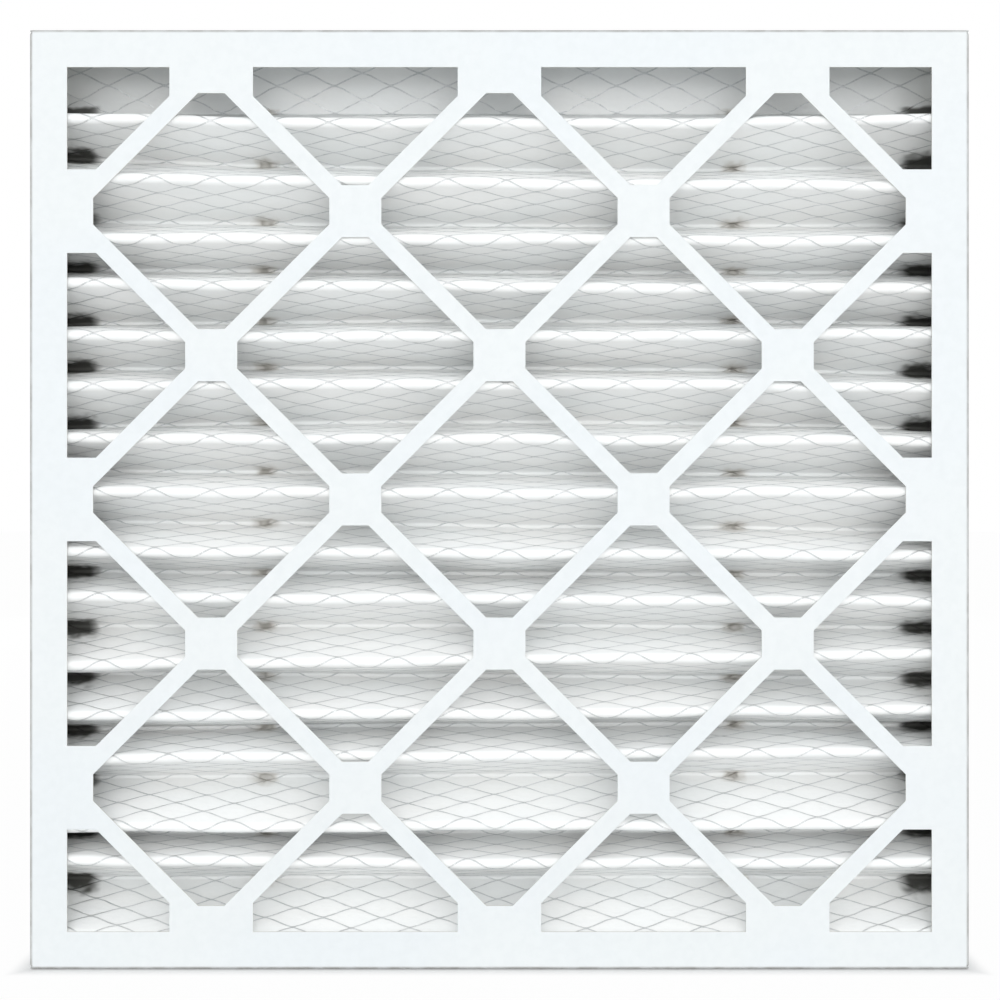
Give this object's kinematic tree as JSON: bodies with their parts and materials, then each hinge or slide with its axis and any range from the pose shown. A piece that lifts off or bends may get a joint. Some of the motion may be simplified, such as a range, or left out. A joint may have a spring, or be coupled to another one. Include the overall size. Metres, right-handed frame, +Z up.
{
  "type": "pleated panel air filter",
  "caption": "Flat panel air filter of pleated wire-backed media in a white board frame with a die-cut diamond lattice.",
  "frame": {"origin": "middle of the bottom edge's outer face, the bottom centre of the bounding box", "axes": "+X across the filter, +Y through it from the lattice side to the open rear side, +Z up"},
  "size_m": [0.4952, 0.0444, 0.4953],
  "materials": {
    "white_board": "matte white board",
    "media": "matte non-woven fibre",
    "expanded_metal": "galvanised",
    "kraft_paper": "matte brown kraft",
    "adhesive": "dull white"
  },
  "bodies": {
    "root": {"front_frame": "white_board", "rear_frame": "white_board", "filter_media": "media", "wire_backing": "expanded_metal", "strap_left": "kraft_paper", "strap_right": "kraft_paper", "seal_left": "adhesive", "seal_right": "adhesive", "seal_top": "adhesive", "seal_bottom": "adhesive"}
  },
  "joints": []
}
